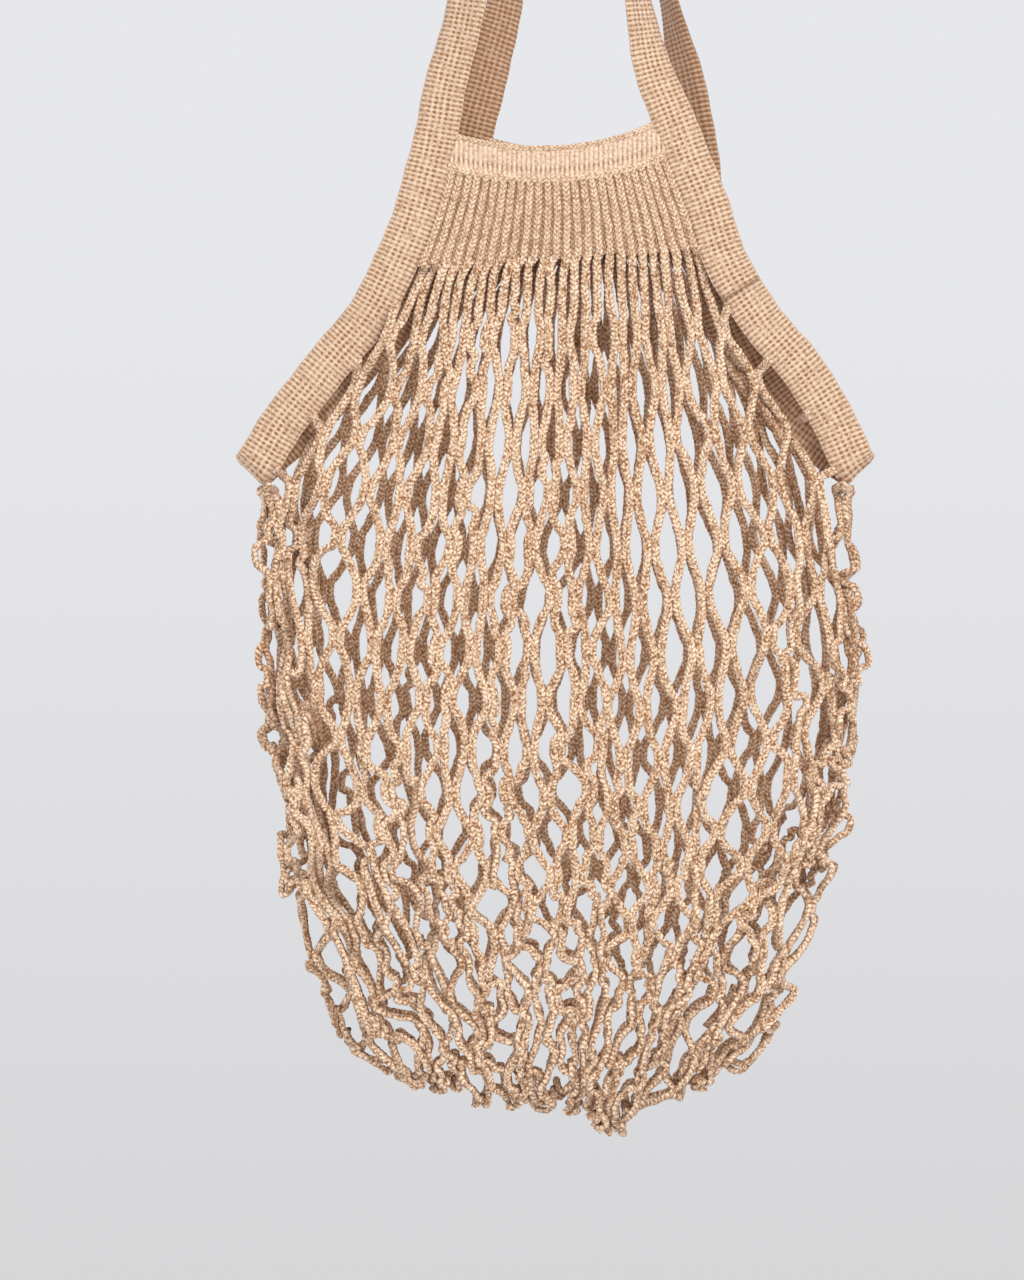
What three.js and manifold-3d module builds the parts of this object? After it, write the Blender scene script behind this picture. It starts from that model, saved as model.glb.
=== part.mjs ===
// String shopping bag of knitted beige yarn, shown hanging by its two handles.
// Millimetres, +Z up. The front faces -Y. The origin is the hang point: the middle of the
// underside of the two handles where they lie side by side over a peg along Y.

import * as THREE from 'three';
import { mergeVertices } from 'three/addons/utils/BufferGeometryUtils.js';
import Module from 'manifold-3d';

const wasm = await Module();
wasm.setup();

// Driving sizes

const GAP = 0.3;              // clearance where two pieces are sewn edge to edge
const SEAM_GAP = 0.4;         // clearance beside the strap's curved edges

const TAPE_WIDTH = 22;        // the endless knitted strap
const TAPE_THICKNESS = 2.8;
const TAPE_EDGE = 0.8;        // bevel of the tape's long edges
const LAP_LENGTH = 9;         // where the strap's two ends are sewn over each other
const LAP_THICKNESS = 2.2;

const PEG_RADIUS = 10;        // the round thing that the handles hang over
const HANDLE_SPACING = 24;    // between the middles of the two handles over the peg
const TIP_REACH = 149;        // from the middle to the strap's side tips
const TIP_DROP = 440;         // from the hang point down to the side tips
const TIP_FOLD_RADIUS = 4;    // where the strap turns back on itself at a tip

const HEM_DROP = 273;         // from the hang point to the hem's top edge
const HEM_SAG = 9;            // how far the hem's middle hangs lower than its ends
const HEM_TILT = 6;           // how much higher the hem's right end hangs
const HEM_HEIGHT = 16.5;
const HEM_THICKNESS = 3.2;
const CUFF_HEIGHT = 48;
const CUFF_THICKNESS = 2.6;
const CUFF_WALES = 16;        // ribs across a cuff, one for two columns of chain stitches
const WALE_RELIEF = 0.8;

const NET_DROP = 776;         // from the hang point to the net's lowest point
const NET_HALF_WIDTH = 147;
const NET_HALF_DEPTH = 28;
const NET_WALL = 4.2;         // one cord thick
const CUT_OVERLAP = 0.01;     // how far the cutting shapes of the two faces reach into each other
const NET_FLOOR_INSET = 10.5; // how far the hollow's lowest section lies inside the net's outside
const NET_LEAST_DEPTH = 1;    // half depth of the hollow where it closes
const MESH_ROWS = 10;         // rows of open meshes that are cut through
const MESH_COLUMNS = 6;       // meshes in a row, cut through the front and the back
const MESH_OPENNESS = 0.74;   // share of a mesh's cell that is open
const MESH_STRETCH = 1.9;     // height of a mesh in row pitches
const MESH_SHOULDER = 0.22;   // height of a mesh's upright sides, as a share of its height
const NET_BOTTOM_ROWS = 1.5;  // row pitches from the lowest row's middle to the net's bottom
const MESH_FIELD = 0.86;      // share of the net's width that has open meshes
const MESH_FIELD_AT_CUFF = 0.39; // the same share just under the cuffs

// Routes of the strap's middle line from the handle down to a side tip. A row is one point:
// its share of TIP_REACH, outwards, and its share of TIP_DROP, down.
const FRONT_LEFT_ROUTE = [
  [0.293, 0.472], [0.372, 0.580], [0.413, 0.650], [0.470, 0.717], [0.537, 0.775],
  [0.640, 0.838], [0.785, 0.897], [0.915, 0.955],
];
const FRONT_RIGHT_ROUTE = [
  [0.275, 0.472], [0.332, 0.555], [0.420, 0.630], [0.500, 0.700], [0.585, 0.780],
  [0.688, 0.835], [0.812, 0.886], [0.915, 0.938],
];
const BACK_LEFT_ROUTE = [
  [0.168, 0.472], [0.225, 0.548], [0.285, 0.628], [0.345, 0.700], [0.425, 0.765],
  [0.560, 0.838], [0.735, 0.912], [0.885, 0.965],
];
const BACK_RIGHT_ROUTE = [
  [0.386, 0.472], [0.445, 0.570], [0.478, 0.650], [0.500, 0.720], [0.545, 0.800],
  [0.645, 0.880], [0.765, 0.938], [0.885, 0.972],
];
const HEM_ROUTE_ROW = 2;      // the row of a route that lies beside the hem
const TWIST_EASE = 0.75;      // how soon a handle's leg turns edge on above the hem

// The net hangs from the cuffs' bottom edges
const NET_TOP = HEM_DROP + HEM_HEIGHT + CUFF_HEIGHT;

// Level sections of the net. A row is one section: its share of the height between the
// cuffs' bottom edges and the net's lowest point, its sideways shift and half width as
// shares of NET_HALF_WIDTH, and its half depth as a share of NET_HALF_DEPTH.
const NET_SECTIONS = [
  [0.000, 0.000, 0.990, 0.34],
  [0.080, 0.000, 0.990, 0.36],
  [0.186, 0.000, 0.985, 0.48],
  [0.257, 0.000, 0.980, 0.60],
  [0.363, 0.014, 0.988, 0.76],
  [0.469, 0.022, 1.000, 0.90],
  [0.558, 0.027, 0.990, 0.98],
  [0.646, 0.020, 0.935, 1.00],
  [0.735, 0.020, 0.885, 0.96],
  [0.805, 0.018, 0.820, 0.86],
  [0.867, 0.015, 0.735, 0.70],
  [0.912, 0.020, 0.640, 0.58],
  [0.947, 0.055, 0.500, 0.46],
  [0.975, 0.190, 0.280, 0.34],
  [1.000, 0.270, 0.110, 0.22],
];
const NET_ROUNDNESS = 2.4;    // 2 is an ellipse, more is boxier
const NET_SIDES = 24;

// The knitted yarn's colours, from light tape to darker net
const TAPE_COLOUR = 0xd9b68c;
const HEM_COLOUR = 0xd4ae82;
const CUFF_COLOUR = 0xcfa777;
const NET_COLOUR = 0xcda06f;

const UP = new THREE.Vector3(0, 0, 1);
const BACKWARD = new THREE.Vector3(0, 1, 0);

// Solids from points

function meshGeometry(positions, triangles) {
  const geometry = new THREE.BufferGeometry();
  geometry.setAttribute('position', new THREE.Float32BufferAttribute(positions, 3));
  geometry.setIndex(triangles);
  return facingOut(geometry);
}

function signedVolume(geometry) {
  const position = geometry.getAttribute('position');
  const index = geometry.getIndex().array;
  const corner = [new THREE.Vector3(), new THREE.Vector3(), new THREE.Vector3()];
  let volume = 0;
  for (let i = 0; i < index.length; i += 3) {
    corner.forEach((point, k) => point.fromBufferAttribute(position, index[i + k]));
    volume += corner[0].dot(corner[1].clone().cross(corner[2])) / 6;
  }
  return volume;
}

function facingOut(geometry) {
  if (signedVolume(geometry) < 0) {
    const index = geometry.getIndex().array;
    for (let i = 0; i < index.length; i += 3) {
      [index[i], index[i + 1]] = [index[i + 1], index[i]];
    }
  }
  return geometry;
}

// A closed skin over rings of points that have the same even number of points each. The
// ends are capped from one half of the ring to the other, or the last ring joins the first.
function skin(rings, closedLoop) {
  const around = rings[0].length;
  const positions = rings.flat().flatMap((point) => [point.x, point.y, point.z]);
  const triangles = [];
  const last = closedLoop ? rings.length : rings.length - 1;
  for (let i = 0; i < last; i += 1) {
    const next = (i + 1) % rings.length;
    for (let j = 0; j < around; j += 1) {
      const k = (j + 1) % around;
      const a = i * around + j;
      const b = i * around + k;
      const c = next * around + k;
      const d = next * around + j;
      triangles.push(a, b, c, a, c, d);
    }
  }
  if (!closedLoop) {
    const end = (rings.length - 1) * around;
    for (let j = 0; j < around / 2 - 1; j += 1) {
      const k = around - 1 - j;
      triangles.push(j, k, k - 1, j, k - 1, j + 1);
      triangles.push(end + j, end + k - 1, end + k, end + j, end + j + 1, end + k - 1);
    }
  }
  return meshGeometry(positions, triangles);
}

function toSolid(geometry) {
  const plain = geometry.clone();
  plain.deleteAttribute('normal');
  plain.deleteAttribute('uv');
  const merged = mergeVertices(plain, 1e-4);
  return new wasm.Manifold(new wasm.Mesh({
    numProp: 3,
    vertProperties: new Float32Array(merged.getAttribute('position').array),
    triVerts: new Uint32Array(merged.getIndex().array),
  }));
}

function fromSolid(solid) {
  const mesh = solid.getMesh();
  const geometry = new THREE.BufferGeometry();
  geometry.setAttribute('position', new THREE.Float32BufferAttribute(mesh.vertProperties, 3));
  geometry.setIndex(Array.from(mesh.triVerts));
  return geometry;
}

// A prism over an outline in the XZ plane, from one depth to another
function prism(outline, nearY, farY) {
  const shape = new THREE.Shape(outline.map(([x, z]) => new THREE.Vector2(x, z)));
  const geometry = new THREE.ExtrudeGeometry(shape, { depth: farY - nearY, bevelEnabled: false });
  geometry.rotateX(Math.PI / 2);
  geometry.translate(0, farY, 0);
  return geometry;
}

// The net's level sections

function netSection(z) {
  const share = THREE.MathUtils.clamp((-z - NET_TOP) / (NET_DROP - NET_TOP), 0, 1);
  let row = 1;
  while (row < NET_SECTIONS.length - 1 && NET_SECTIONS[row][0] < share) row += 1;
  const above = NET_SECTIONS[row - 1];
  const below = NET_SECTIONS[row];
  const part = (share - above[0]) / (below[0] - above[0]);
  const [, shift, halfWidth, halfDepth] = above.map((value, k) => value + (below[k] - value) * part);
  return {
    middle: shift * NET_HALF_WIDTH,
    halfWidth: halfWidth * NET_HALF_WIDTH,
    halfDepth: halfDepth * NET_HALF_DEPTH,
  };
}

// Half the distance between the front and the back wall, middle to middle
function wallDepth(x, z) {
  const section = netSection(z);
  const across = Math.abs((x - section.middle) / (section.halfWidth - NET_WALL / 2));
  const depth = section.halfDepth - NET_WALL / 2;
  if (across >= 1) return 0;
  return depth * (1 - across ** NET_ROUNDNESS) ** (1 / NET_ROUNDNESS);
}

// The strap's route

const FRONT = -1;
const BACK = 1;
const LEFT = -1;
const RIGHT = 1;
const ARC_POINTS = 3;
const ARC_TURN = THREE.MathUtils.degToRad(78);
const STATIONS_PER_SPAN = 3;

// Points of one leg from the peg down to the tip, each with the direction across the tape.
// That direction points to the tape's outer edge, and over the peg to the other handle.
function legPoints(route, face, side) {
  const radius = PEG_RADIUS + TAPE_THICKNESS / 2;
  const pegY = face * HANDLE_SPACING / 2;
  const places = [];
  for (let i = 1; i <= ARC_POINTS; i += 1) {
    const turn = ARC_TURN * i / ARC_POINTS;
    places.push(new THREE.Vector3(
      side * radius * Math.sin(turn), pegY, radius * Math.cos(turn) - PEG_RADIUS));
  }
  const hemZ = -route[HEM_ROUTE_ROW][1] * TIP_DROP;
  for (const [out, down] of [...route, [1, 1]]) {
    const x = side * out * TIP_REACH;
    const z = -down * TIP_DROP;
    const flatY = face * Math.max(wallDepth(x, z), TIP_FOLD_RADIUS);
    const share = THREE.MathUtils.clamp(1 - z / hemZ, 0, 1);
    places.push(new THREE.Vector3(x, THREE.MathUtils.lerp(flatY, pegY, share), z));
  }
  return places.map((point, i) => {
    const before = places[Math.max(i - 1, 0)];
    const after = places[Math.min(i + 1, places.length - 1)];
    const along = after.clone().sub(before);
    const across = new THREE.Vector3(-along.z, 0, along.x).multiplyScalar(side).normalize();
    if (across.x * side < 0) across.negate();
    const share = THREE.MathUtils.clamp(1 - point.z / hemZ, 0, 1);
    const twist = i < ARC_POINTS ? Math.PI / 2 : Math.PI / 2 * share ** TWIST_EASE;
    across.multiplyScalar(Math.cos(twist)).addScaledVector(BACKWARD, -face * Math.sin(twist));
    return { point, across };
  });
}

function foldPoint(side) {
  const tip = new THREE.Vector3(side * TIP_REACH, 0, -TIP_DROP);
  const outward = new THREE.Vector3(side, 0, -1).normalize();
  return {
    point: tip.addScaledVector(outward, TIP_FOLD_RADIUS),
    across: new THREE.Vector3(side, 0, 1).normalize(),
  };
}

function pegTop(face) {
  return {
    point: new THREE.Vector3(0, face * HANDLE_SPACING / 2, TAPE_THICKNESS / 2),
    across: BACKWARD.clone().multiplyScalar(-face),
  };
}

const strapKnots = [
  pegTop(FRONT),
  ...legPoints(FRONT_RIGHT_ROUTE, FRONT, RIGHT),
  foldPoint(RIGHT),
  ...legPoints(BACK_RIGHT_ROUTE, BACK, RIGHT).reverse(),
  pegTop(BACK),
  ...legPoints(BACK_LEFT_ROUTE, BACK, LEFT),
  foldPoint(LEFT),
  ...legPoints(FRONT_LEFT_ROUTE, FRONT, LEFT).reverse(),
];

// Stations at even steps between the knots: middle, across and facing directions
function strapStations() {
  const curve = new THREE.CatmullRomCurve3(
    strapKnots.map((knot) => knot.point), true, 'centripetal');
  const count = strapKnots.length * STATIONS_PER_SPAN;
  const stations = [];
  for (let i = 0; i < count; i += 1) {
    const knot = Math.floor(i / STATIONS_PER_SPAN);
    const part = (i % STATIONS_PER_SPAN) / STATIONS_PER_SPAN;
    const next = strapKnots[(knot + 1) % strapKnots.length];
    const middle = curve.getPoint(i / count);
    const along = curve.getTangent(i / count);
    const across = strapKnots[knot].across.clone().lerp(next.across, part);
    across.addScaledVector(along, -across.dot(along)).normalize();
    stations.push({ middle, across, facing: along.clone().cross(across).normalize() });
  }
  return stations;
}

const stations = strapStations();

// The lap seam lies on the front of the strap, where the right side starts to slant
const LAP_ROUTE_ROW = 5;
const LAP_STATION = (1 + ARC_POINTS + LAP_ROUTE_ROW) * STATIONS_PER_SPAN;

function tapeRing({ middle, across, facing }, extra) {
  const half = TAPE_WIDTH / 2;
  const thick = TAPE_THICKNESS / 2;
  const outline = [
    [-half, -thick + TAPE_EDGE], [-half + TAPE_EDGE, -thick], [half - TAPE_EDGE, -thick],
    [half, -thick + TAPE_EDGE], [half, thick - TAPE_EDGE], [half - TAPE_EDGE, thick + extra],
    [-half + TAPE_EDGE, thick + extra], [-half, thick - TAPE_EDGE],
  ];
  return outline.map(([w, t]) => middle.clone().addScaledVector(across, w).addScaledVector(facing, t));
}

function makeStrap() {
  const lapMiddle = stations[LAP_STATION].middle;
  const outer = stations[LAP_STATION].facing.y < 0 ? 1 : -1;
  const rings = stations.map((station) => {
    const lapped = station.middle.distanceTo(lapMiddle) < LAP_LENGTH / 2 && station.middle.y < 0;
    return tapeRing(station, lapped ? outer * LAP_THICKNESS : 0);
  });
  return skin(rings, true);
}

// The inner edge of the strap beside a panel, from above the hem down to the tip, as
// [x, z]. The tape lies at a slant there, so the corner that reaches further in counts.
function innerEdge(face, side, clearance) {
  const reach = TAPE_WIDTH / 2 + clearance;
  const startZ = -HEM_DROP + 2 * HEM_HEIGHT;
  return stations
    .filter(({ middle }) => middle.y * face > 0 && middle.x * side > 0 && middle.z < startZ)
    .map(({ middle, across, facing }) => {
      const edge = middle.clone().addScaledVector(across, -reach);
      const slant = Math.abs(facing.x) * TAPE_THICKNESS / 2;
      return [edge.x - side * slant, edge.z];
    })
    .sort((a, b) => b[1] - a[1]);
}

function edgeX(edge, z) {
  let i = 1;
  while (i < edge.length - 1 && edge[i][1] > z) i += 1;
  const [xa, za] = edge[i - 1];
  const [xb, zb] = edge[i];
  return xa + (xb - xa) * (z - za) / (zb - za);
}

// Height of the hem's top edge at a share of its width from the left
function hemTopZ(share) {
  const fromMiddle = 2 * share - 1;
  return -HEM_DROP - HEM_SAG * (1 - fromMiddle ** 2) + HEM_TILT * fromMiddle / 2;
}

// Height below the hem at a share of the cuff's height: its bottom edge hangs level
function panelZ(share, down) {
  const top = hemTopZ(share) - HEM_HEIGHT - GAP;
  return THREE.MathUtils.lerp(top, -NET_TOP, down);
}

// A slab between the two inner edges of the strap on one face
function panelSlab(face, columns, rows, zAt, depthAt) {
  const left = innerEdge(face, LEFT, SEAM_GAP);
  const right = innerEdge(face, RIGHT, SEAM_GAP);
  const panelY = face * wallDepth(0, -NET_TOP);
  const rings = [];
  for (let i = 0; i <= columns; i += 1) {
    const share = i / columns;
    const ring = [];
    for (const outside of [true, false]) {
      for (let j = 0; j <= rows; j += 1) {
        const down = outside ? j / rows : 1 - j / rows;
        const z = zAt(share, down);
        const x = THREE.MathUtils.lerp(edgeX(left, z), edgeX(right, z), share);
        const y = panelY + face * depthAt(i, outside) * (outside ? 1 : -1);
        ring.push(new THREE.Vector3(x, y, z));
      }
    }
    rings.push(ring);
  }
  return skin(rings, false);
}

function makeHem(face) {
  const columns = 12;
  return panelSlab(face, columns, 2,
    (share, down) => hemTopZ(share) - HEM_HEIGHT * down,
    () => HEM_THICKNESS / 2);
}

function makeCuff(face) {
  const perWale = 2;
  return panelSlab(face, CUFF_WALES * perWale, 2, panelZ,
    (column, outside) => CUFF_THICKNESS / 2 + (outside ? WALE_RELIEF * (column % perWale) : 0));
}

// The net

function netRing(z, inset) {
  const section = netSection(z);
  const ring = [];
  for (let j = 0; j < NET_SIDES; j += 1) {
    const turn = 2 * Math.PI * j / NET_SIDES;
    const bend = (value) => Math.sign(value) * Math.abs(value) ** (2 / NET_ROUNDNESS);
    ring.push(new THREE.Vector3(
      section.middle + (section.halfWidth - inset) * bend(Math.cos(turn)),
      Math.max(section.halfDepth - inset, NET_LEAST_DEPTH) * bend(Math.sin(turn)),
      z));
  }
  return ring;
}

function netShell() {
  const heights = NET_SECTIONS.map(([share]) => -THREE.MathUtils.lerp(NET_TOP, NET_DROP, share));
  const outside = toSolid(skin(heights.map((z) => netRing(z, 0)), false));
  const innerHeights = heights.slice(0, -2);
  const innerRings = innerHeights.map((z) => netRing(z, NET_WALL));
  const floor = netRing(innerHeights.at(-1) - NET_WALL, NET_FLOOR_INSET);
  const raised = innerRings[0].map((point) => point.clone().addScaledVector(UP, GAP));
  const inside = toSolid(skin([raised, ...innerRings, floor], false));
  return outside.subtract(inside);
}

// What lies above the net on one face: the cuff, the strap and everything outside them
function aboveNet(face) {
  const beyond = 2 * TIP_REACH;
  const foldReach = TIP_FOLD_RADIUS + TAPE_THICKNESS / 2 + GAP;
  const cuffBottom = -NET_TOP - GAP;
  const side = (sign) => {
    const edge = innerEdge(face, sign, GAP).filter(([, z]) => z < cuffBottom);
    const inner = edge.at(-1);
    const half = Math.SQRT1_2;
    const tipInner = [inner[0] + sign * foldReach * half, inner[1] - foldReach * half];
    const tipOuter = [tipInner[0] + sign * TAPE_WIDTH * half, tipInner[1] + TAPE_WIDTH * half];
    return [[edgeX(innerEdge(face, sign, GAP), cuffBottom), cuffBottom], ...edge,
      tipInner, tipOuter, [sign * beyond, tipOuter[1]]];
  };
  const outline = [...side(RIGHT), [beyond, beyond], [-beyond, beyond], ...side(LEFT).reverse()];
  const depth = 2 * NET_HALF_DEPTH;
  return toSolid(face === FRONT ? prism(outline, -depth, CUT_OVERLAP)
    : prism(outline, -CUT_OVERLAP, depth));
}

// Open meshes: rows of upright lozenges, each row set half a mesh to the side of the last
function meshOutline(row, column) {
  const pitch = (NET_DROP - NET_TOP) / (MESH_ROWS + NET_BOTTOM_ROWS);
  const middleZ = -(NET_TOP + pitch * (row + 1));
  const section = netSection(middleZ);
  const widening = THREE.MathUtils.clamp((-middleZ - NET_TOP) / (TIP_DROP - NET_TOP), 0, 1);
  const field = THREE.MathUtils.lerp(MESH_FIELD_AT_CUFF, MESH_FIELD, widening);
  const cell = 2 * (section.halfWidth * field - NET_WALL) / MESH_COLUMNS;
  const quarter = 1 / 4;
  const stagger = row % 2 ? quarter : -quarter;
  const middleX = section.middle + cell * (column - (MESH_COLUMNS - 1) / 2 + stagger);
  const halfWidth = cell * MESH_OPENNESS / 2;
  const halfHeight = pitch * MESH_STRETCH * MESH_OPENNESS / 2;
  return [
    [middleX, middleZ - halfHeight], [middleX + halfWidth, middleZ - halfHeight * MESH_SHOULDER],
    [middleX + halfWidth, middleZ + halfHeight * MESH_SHOULDER], [middleX, middleZ + halfHeight],
    [middleX - halfWidth, middleZ + halfHeight * MESH_SHOULDER],
    [middleX - halfWidth, middleZ - halfHeight * MESH_SHOULDER],
  ];
}

function makeNet() {
  let net = netShell();
  net = net.subtract(aboveNet(FRONT)).subtract(aboveNet(BACK));
  for (let row = 0; row < MESH_ROWS; row += 1) {
    for (let column = 0; column < MESH_COLUMNS; column += 1) {
      const hole = toSolid(prism(meshOutline(row, column), -2 * NET_HALF_DEPTH, 2 * NET_HALF_DEPTH));
      net = net.subtract(hole);
    }
  }
  return fromSolid(net);
}

// Pieces

const bag = new THREE.Group();

function addPiece(name, geometry, colour) {
  const material = new THREE.MeshStandardMaterial({ color: colour, roughness: 0.92, metalness: 0 });
  geometry.computeVertexNormals();
  const mesh = new THREE.Mesh(geometry, material);
  mesh.name = name;
  bag.add(mesh);
}

addPiece('strap', makeStrap(), TAPE_COLOUR);
addPiece('front_hem', makeHem(FRONT), HEM_COLOUR);
addPiece('back_hem', makeHem(BACK), HEM_COLOUR);
addPiece('front_cuff', makeCuff(FRONT), CUFF_COLOUR);
addPiece('back_cuff', makeCuff(BACK), CUFF_COLOUR);
addPiece('net_body', makeNet(), NET_COLOUR);

export default bag;
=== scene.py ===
"""Looks of a string shopping bag of knitted beige yarn, hanging by its two handles."""

import math

import bpy
import numpy as np
from bpy.props import FloatProperty, FloatVectorProperty, IntProperty, PointerProperty
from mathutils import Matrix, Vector


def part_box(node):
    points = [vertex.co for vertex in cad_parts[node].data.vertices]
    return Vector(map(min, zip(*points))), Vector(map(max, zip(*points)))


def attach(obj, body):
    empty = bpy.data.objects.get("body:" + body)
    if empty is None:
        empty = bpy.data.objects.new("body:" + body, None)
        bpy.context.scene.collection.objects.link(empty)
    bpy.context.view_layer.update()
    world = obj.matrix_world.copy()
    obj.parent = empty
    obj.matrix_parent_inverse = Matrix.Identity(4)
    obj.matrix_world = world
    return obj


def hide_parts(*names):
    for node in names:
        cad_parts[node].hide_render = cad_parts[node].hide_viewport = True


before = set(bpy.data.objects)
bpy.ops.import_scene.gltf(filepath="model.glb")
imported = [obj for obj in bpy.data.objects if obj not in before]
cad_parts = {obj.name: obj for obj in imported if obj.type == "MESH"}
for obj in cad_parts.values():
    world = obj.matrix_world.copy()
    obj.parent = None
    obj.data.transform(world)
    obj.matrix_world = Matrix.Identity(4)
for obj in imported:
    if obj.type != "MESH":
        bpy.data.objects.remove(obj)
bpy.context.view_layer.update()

bl_info = {
    "name": "String Shopping Bag",
    "version": (1, 0, 0),
    "blender": (4, 5, 0),
    "location": "View3D > Sidebar > String Bag",
    "description": "Builds a knitted net shopping bag with tape handles around its frame",
    "category": "Add Mesh",
}

MM = 0.001
FRONT, BACK = -1, 1
LEFT, RIGHT = -1, 1

# What the frame says about the bag

HEM_LOW, HEM_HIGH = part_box("front_hem")
CUFF_LOW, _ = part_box("front_cuff")
NET_LOW, NET_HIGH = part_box("net_body")
HEM_TILT = 6 * MM
CUFF_BOTTOM = CUFF_LOW.z
FACE_DEPTH = -(HEM_LOW.y + HEM_HIGH.y) / 2

# The photograph's size in pixels, the size of a pixel, and the pixel of the frame's origin

PHOTO_WIDTH, PHOTO_HEIGHT = 1024, 1280
PIXEL = 0.5 * MM
ORIGIN_X, ORIGIN_Y = 555, -415


def photo_x(pixel):
    return (pixel - ORIGIN_X) * PIXEL


def photo_z(pixel):
    return -(pixel - ORIGIN_Y) * PIXEL


# Routes of the strap's middle line from the handle down to a side tip. A row is one point:
# its share of the tip's reach, outwards, and of the tip's drop, down.
TIP_REACH = 149 * MM
TIP_DROP = 440 * MM
ROUTES = {
    (FRONT, LEFT): [(0.293, 0.472), (0.372, 0.580), (0.413, 0.650), (0.470, 0.717),
                    (0.537, 0.775), (0.640, 0.838), (0.785, 0.897), (0.915, 0.955)],
    (FRONT, RIGHT): [(0.275, 0.472), (0.332, 0.555), (0.420, 0.630), (0.500, 0.700),
                     (0.585, 0.780), (0.688, 0.835), (0.812, 0.886), (0.915, 0.938)],
    (BACK, LEFT): [(0.168, 0.472), (0.225, 0.548), (0.285, 0.628), (0.345, 0.700),
                   (0.425, 0.765), (0.560, 0.838), (0.735, 0.912), (0.885, 0.965)],
    (BACK, RIGHT): [(0.386, 0.472), (0.445, 0.570), (0.478, 0.650), (0.500, 0.720),
                    (0.545, 0.800), (0.645, 0.880), (0.765, 0.938), (0.885, 0.972)],
}
HEM_ROW = 2
LAP_ROW = 4

# How far each handle's leg has turned edge on at the photograph's top edge, in degrees
LEG_TWIST = {(FRONT, LEFT): 30, (FRONT, RIGHT): 52, (BACK, LEFT): 38, (BACK, RIGHT): 70}

# Level sections of the net: share of its height, sideways shift, half width, half depth
NET_SECTIONS = np.array([
    (0.000, 0.000, 0.990, 0.34), (0.080, 0.000, 0.990, 0.36), (0.186, 0.000, 0.985, 0.48),
    (0.257, 0.000, 0.980, 0.60), (0.363, 0.014, 0.988, 0.76), (0.469, 0.022, 1.000, 0.90),
    (0.558, 0.027, 0.990, 0.98), (0.646, 0.020, 0.935, 1.00), (0.735, 0.020, 0.885, 0.96),
    (0.805, 0.018, 0.820, 0.86), (0.867, 0.015, 0.735, 0.70), (0.912, 0.020, 0.640, 0.58),
    (0.947, 0.055, 0.500, 0.46), (0.975, 0.190, 0.280, 0.34), (1.000, 0.270, 0.110, 0.22),
])
NET_ROUNDNESS = 2.4
NET_WALL = 2.1 * MM

# Where chosen cords of the front net hang, as photo pixels: height, then the x of each
KEY_CORDS = (0, 5, 6, 8, 12, 19, 25, 29, 31, 32, 37)
CORD_LEVELS = [
    (262, 330, 400, 415, 438, 484, 563, 632, 677, 700, 712, 800),
    (350, 300, 372, 402, 426, 474, 561, 634, 686, 714, 744, 830),
    (450, 262, 322, 378, 408, 464, 558, 638, 698, 728, 760, 842),
    (520, 264, 316, 364, 398, 458, 556, 641, 706, 738, 774, 846),
    (600, 267, 312, 352, 386, 452, 556, 645, 713, 748, 786, 852),
    (700, 268, 310, 344, 378, 447, 556, 648, 717, 754, 796, 855),
    (800, 290, 325, 350, 383, 445, 554, 648, 713, 747, 779, 838),
    (900, 303, 350, 366, 396, 455, 560, 650, 708, 738, 754, 820),
    (1000, 331, 383, 396, 422, 474, 564, 642, 694, 720, 733, 785),
    (1060, 364, 408, 419, 441, 485, 561, 627, 671, 693, 704, 748),
    (1110, 415, 448, 456, 472, 505, 562, 611, 644, 660, 669, 702),
]

# The net's lower outline, as photo pixels from left to right
LOWER_EDGE = [(320, 985), (331, 1006), (343, 1038), (358, 1055), (385, 1075), (417, 1092),
              (440, 1105), (520, 1108), (585, 1112), (606, 1134), (652, 1134), (678, 1104),
              (700, 1100), (738, 1075), (770, 1038), (785, 1006), (798, 985)]


# Settings

class YarnSettings(bpy.types.PropertyGroup):
    """The melange yarn's colours and the size of its stitches"""
    light: FloatVectorProperty(name="Light", description="Pale fibres of the yarn",
                               default=(0.98, 0.77, 0.565), size=3, subtype='COLOR')
    middle: FloatVectorProperty(name="Middle", description="Beige fibres of the yarn",
                                default=(0.68, 0.43, 0.25), size=3, subtype='COLOR')
    # Also the colour that all painted shade of cords, tape and hems blends towards
    dark: FloatVectorProperty(name="Dark", description="Brown fibres of the yarn",
                              default=(0.28, 0.12, 0.048), size=3, subtype='COLOR')
    fleck: FloatProperty(name="Fleck", description="Size of one fleck in the melange",
                         default=1.3 * MM, unit='LENGTH')
    stitch: FloatProperty(name="Stitch", description="Length of one chain stitch of a cord",
                          default=2.4 * MM, unit='LENGTH')
    cord: FloatProperty(name="Cord", description="Width of one cord of the net",
                        default=4.2 * MM, unit='LENGTH')
    thinning: FloatProperty(name="Thinning", description="How much thinner a slack cord looks",
                            default=0.14)


class StrapSettings(bpy.types.PropertyGroup):
    """The endless knitted tape"""
    width: FloatProperty(name="Width", description="Width of the tape",
                         default=22 * MM, unit='LENGTH')
    thickness: FloatProperty(name="Thickness", description="Thickness of the tape",
                             default=2.8 * MM, unit='LENGTH')
    course: FloatProperty(name="Course", description="Length of one knitted course",
                          default=2.4 * MM, unit='LENGTH')
    peg: FloatProperty(name="Peg", description="Radius of what the handles hang over",
                       default=10 * MM, unit='LENGTH')
    spacing: FloatProperty(name="Spacing", description="Distance between the two handles",
                           default=24 * MM, unit='LENGTH')
    fold: FloatProperty(name="Fold", description="Radius of the strap's fold at a tip",
                        default=4 * MM, unit='LENGTH')
    lap: FloatProperty(name="Lap", description="Length of the sewn lap of the tape's ends",
                       default=12 * MM, unit='LENGTH')


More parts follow.
